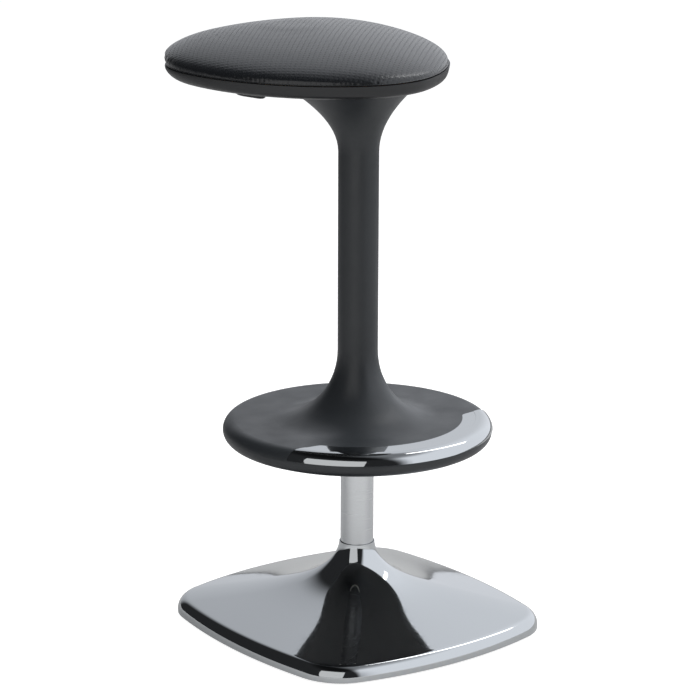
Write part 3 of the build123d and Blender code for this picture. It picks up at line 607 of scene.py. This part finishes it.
def trumpetProfile(spec):
    # half side, height and the outward normal in that plane, at even steps along the sheet
    half = (spec["halfX"] + spec["halfY"]) / 2
    slope, roll = math.radians(spec["slopeDeg"]), spec["rollR"]
    rollLow = spec["low"] + spec["side"]
    skirtHalf, skirtLow = half - roll * (1 - math.sin(slope)), rollLow + roll * math.cos(slope)
    wide, steep = skirtHalf - spec["neckR"], math.tan(slope)
    neck = spec["top"] - skirtLow - wide * steep
    onSide, onRoll, onSkirt = spec["fine"]
    fine = [(half, spec["low"] + spec["side"] * i / onSide) for i in range(onSide)]
    for i in range(onRoll):
        t = (math.pi / 2 - slope) * i / onRoll
        fine.append((half - roll * (1 - math.cos(t)), rollLow + roll * math.sin(t)))
    for i in range(onSkirt + 1):
        u = math.sin(math.pi / 2 * i / onSkirt)
        fine.append((skirtHalf - wide * u, skirtLow + wide * u * steep
                     + neck * (1 - math.sqrt(1 - u ** spec["neckPower"]))))
    run = [0.0]
    for p, q in zip(fine, fine[1:]):
        run.append(run[-1] + math.dist(p, q))
    profile, i = [], 0
    for step in range(spec["steps"]):
        while i < len(run) - 1 and run[i] < run[-1] * step / (spec["steps"] - 1):
            i += 1
        p, q = fine[max(i - 1, 0)], fine[min(i + 1, len(fine) - 1)]
        far = math.dist(p, q)
        profile.append((*fine[i], (q[1] - p[1]) / far, (p[0] - q[0]) / far))
    return profile, half, skirtHalf


def makeTrumpet(spec, material):
    profile, baseHalf, skirtHalf = trumpetProfile(spec)
    stretch = (spec["halfY"] - spec["halfX"]) / 2
    rimReach = baseHalf * math.sqrt(2) - spec["cornerCut"]
    skirtReach, skirtR = rimReach - (baseHalf - skirtHalf), spec["cornerR"] - (baseHalf - skirtHalf)
    rings = []
    for inner in (0, 1):
        for half, z, nx, nz in profile[::-1] if inner else profile:
            share = (half - spec["neckR"]) / (skirtHalf - spec["neckR"])
            square, reach, r = 1.0, rimReach - (baseHalf - half), spec["cornerR"] - (baseHalf - half)
            if half < skirtHalf:
                square = math.sqrt(max(share, 0.0004))
                reach = half * (1 + (skirtReach / skirtHalf - 1) * square)
                r = half * (1 + (skirtR / skirtHalf - 1) * square)
            thin, thick = spec["wall"]
            wall = inner * (thin + (thick - thin) * min(1.0, 3 * share))
            mid = (reach - r) / math.sqrt(2)
            longer = stretch * square * min(1.0, half / skirtHalf)
            uneven = stretch / baseHalf * square
            ring = squareRing(half - longer - wall * nx, half + longer - wall * nx, mid * (1 - uneven),
                              mid * (1 + uneven), r - wall * nx, spec["around"])
            level = max(z - wall * nz, spec["low"])
            rings.append([(x / 1000, y / 1000, level / 1000) for x, y in ring])
    many, count = len(rings[0]), len(rings)
    faces = []
    for i in range(count):
        here, after = i * many, (i + 1) % count * many
        for j in range(many):
            k = (j + 1) % many
            faces.append((here + j, here + k, after + k, after + j))
    mesh = bpy.data.meshes.new("base_trumpet")
    mesh.from_pydata([point for ring in rings for point in ring], [], faces)
    bm = bmesh.new()
    bm.from_mesh(mesh)
    bmesh.ops.recalc_face_normals(bm, faces=bm.faces)
    bm.to_mesh(mesh)
    bm.free()
    mesh.shade_smooth()
    mesh.set_sharp_from_angle(angle=math.radians(spec["sharpDeg"]))
    mesh.materials.append(material)
    base = bpy.data.objects.new("base_trumpet", mesh)
    scene.collection.objects.link(base)
    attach(base, "base")
    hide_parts("base_shell")
    print("base drawn,", len(faces), "faces")


makeTrumpet(trumpetSpec, finishes["chrome"])


# Studio: white to the eye all round, soft boxes above and at the right. What shiny pieces mirror is set apart from it.
studioSpec = {
    "ambient": 0.30,
    "aimHeight": 0.45,
    "floorReach": 9.0,
    "floorPaint": 0.4,
    # mirrored: a backdrop that pales from left to right, an unlit room at the near left, a dim ceiling
    "backdrop": {"tint": "F1F4FA", "leftAt": -0.4, "left": 0.55, "rightAt": 0.45, "right": 1.2},
    "room": {"across": -0.8, "ahead": -0.6, "edgeAt": -0.22, "darkAt": 0.08, "dark": 0.03},
    "ceiling": {"edgeAt": 0.76, "darkAt": 0.95, "share": 0.28},  # by the upward part of the direction
    "floorGlow": {"seen": 0.9, "nearAt": -0.6, "near": 0.4, "farAt": 0.0, "far": 0.08},
    "boxes": [
        # across and ahead from the stool as the camera sees it, height, width, length, watts, mirrored
        ("topBox", 0.3, 0.5, 2.7, 2.6, 2.6, 75.0, False),
        ("rightBox", 2.3, 0.5, 1.3, 1.6, 2.2, 34.0, False),
        ("ridgeBox", 1.3, 0.9, 2.3, 0.22, 1.5, 5.0, True),
        ("frontCard", -0.75, -2.1, 1.15, 2.1, 2.3, 12.0, True),
    ],
}


def fromCamera(across, ahead, height):
    hx, hy = cameraSpec["heading"]
    return Vector((across * hy + ahead * hx, -across * hx + ahead * hy, height))


def lightStudio(spec):
    for name, across, ahead, height, wide, long, watts, mirrored in spec["boxes"]:
        data = bpy.data.lights.new(name, "AREA")
        data.shape = "RECTANGLE"
        data.size = wide
        data.size_y = long
        data.energy = watts
        box = bpy.data.objects.new(name, data)
        place = fromCamera(across, ahead, height)
        aim = Vector((0, 0, spec["aimHeight"])) - place
        box.matrix_world = Matrix.Translation(place) @ aim.to_track_quat("-Z", "Y").to_matrix().to_4x4()
        box.visible_glossy = mirrored
        scene.collection.objects.link(box)
    world = bpy.data.worlds.new("studio")
    scene.world = world
    world.use_nodes = True
    tree = world.node_tree
    ray = addNode(tree, "ShaderNodeLightPath").outputs
    seen = addNode(tree, "ShaderNodeMath", {0: ray["Is Camera Ray"], 1: ray["Is Transmission Ray"]},
                   operation="MAXIMUM")
    level = addNode(tree, "ShaderNodeMapRange", {"Value": seen.outputs[0], "To Min": spec["ambient"], "To Max": 1.0})
    room, drop = spec["room"], spec["backdrop"]
    aim = addNode(tree, "ShaderNodeTexCoord").outputs["Generated"]
    side = addNode(tree, "ShaderNodeVectorMath", {0: aim, 1: fromCamera(1, 0, 0)},
                   operation="DOT_PRODUCT").outputs["Value"]
    near = addNode(tree, "ShaderNodeVectorMath", {0: aim, 1: fromCamera(room["across"], room["ahead"], 0)},
                   operation="DOT_PRODUCT").outputs["Value"]
    pale = addNode(tree, "ShaderNodeMapRange", {"Value": side, "From Min": drop["leftAt"], "From Max": drop["rightAt"],
                                                "To Min": drop["left"], "To Max": drop["right"]})
    fall = addNode(tree, "ShaderNodeMapRange", {"Value": near, "From Min": room["edgeAt"], "From Max": room["darkAt"],
                                                "To Min": pale.outputs["Result"], "To Max": room["dark"]},
                   interpolation_type="SMOOTHSTEP")
    roof = spec["ceiling"]
    high = addNode(tree, "ShaderNodeSeparateXYZ", {0: aim}).outputs["Z"]
    dim = addNode(tree, "ShaderNodeMapRange", {"Value": high, "From Min": roof["edgeAt"], "From Max": roof["darkAt"],
                                               "To Min": 1.0, "To Max": roof["share"]},
                  interpolation_type="SMOOTHSTEP")
    mirrored = addNode(tree, "ShaderNodeMath", {0: fall.outputs["Result"], 1: dim.outputs["Result"]},
                       operation="MULTIPLY")
    strength = addNode(tree, "ShaderNodeMix", {"Factor": ray["Is Glossy Ray"], "A": level.outputs["Result"],
                                               "B": mirrored.outputs[0]})
    tree.links.new(strength.outputs["Result"], tree.nodes["Background"].inputs["Strength"])
    tint = addNode(tree, "ShaderNodeMix", {"Factor": seen.outputs[0], "A": linearRgb(drop["tint"]), "B": (1, 1, 1, 1)},
                   data_type="RGBA")
    tree.links.new(tint.outputs["Result"], tree.nodes["Background"].inputs["Color"])


def layFloor(spec):
    mesh = bpy.data.meshes.new("floor")
    r = spec["floorReach"]
    mesh.from_pydata([(-r, -r, 0), (r, -r, 0), (r, r, 0), (-r, r, 0)], [], [(0, 1, 2, 3)])
    floor = bpy.data.objects.new("floor", mesh)
    scene.collection.objects.link(floor)
    material = bpy.data.materials.new("whiteSweep")
    material.use_nodes = True
    tree = material.node_tree
    tree.nodes.remove(tree.nodes["Principled BSDF"])
    ray = addNode(tree, "ShaderNodeLightPath").outputs
    seen = addNode(tree, "ShaderNodeMath", {0: ray["Is Camera Ray"], 1: ray["Is Transmission Ray"]},
                   operation="MAXIMUM")
    lit = spec["floorGlow"]
    plain = addNode(tree, "ShaderNodeMath", {0: seen.outputs[0], 1: lit["seen"]}, operation="MULTIPLY")
    at = addNode(tree, "ShaderNodeTexCoord").outputs["Object"]
    away = addNode(tree, "ShaderNodeVectorMath", {0: at, 1: fromCamera(0, 1, 0)},
                   operation="DOT_PRODUCT").outputs["Value"]
    patch = addNode(tree, "ShaderNodeMapRange", {"Value": away, "From Min": lit["nearAt"], "From Max": lit["farAt"],
                                                 "To Min": lit["near"], "To Max": lit["far"]})
    glow = addNode(tree, "ShaderNodeMath", {0: ray["Is Glossy Ray"], 1: patch.outputs["Result"], 2: plain.outputs[0]},
                   operation="MULTIPLY_ADD")
    white = addNode(tree, "ShaderNodeEmission", {"Strength": glow.outputs[0]})
    grey = spec["floorPaint"]
    paint = addNode(tree, "ShaderNodeBsdfDiffuse", {"Color": (grey, grey, grey, 1)})
    both = addNode(tree, "ShaderNodeAddShader", {0: white.outputs[0], 1: paint.outputs[0]})
    # seen from below the floor is clear, so the underside can be looked at
    back = addNode(tree, "ShaderNodeNewGeometry").outputs["Backfacing"]
    clear = addNode(tree, "ShaderNodeBsdfTransparent")
    pick = addNode(tree, "ShaderNodeMixShader", {0: back, 1: both.outputs[0], 2: clear.outputs[0]})
    tree.links.new(pick.outputs[0], tree.nodes["Material Output"].inputs["Surface"])
    mesh.materials.append(material)


lightStudio(studioSpec)
layFloor(studioSpec)
print("studio lit")
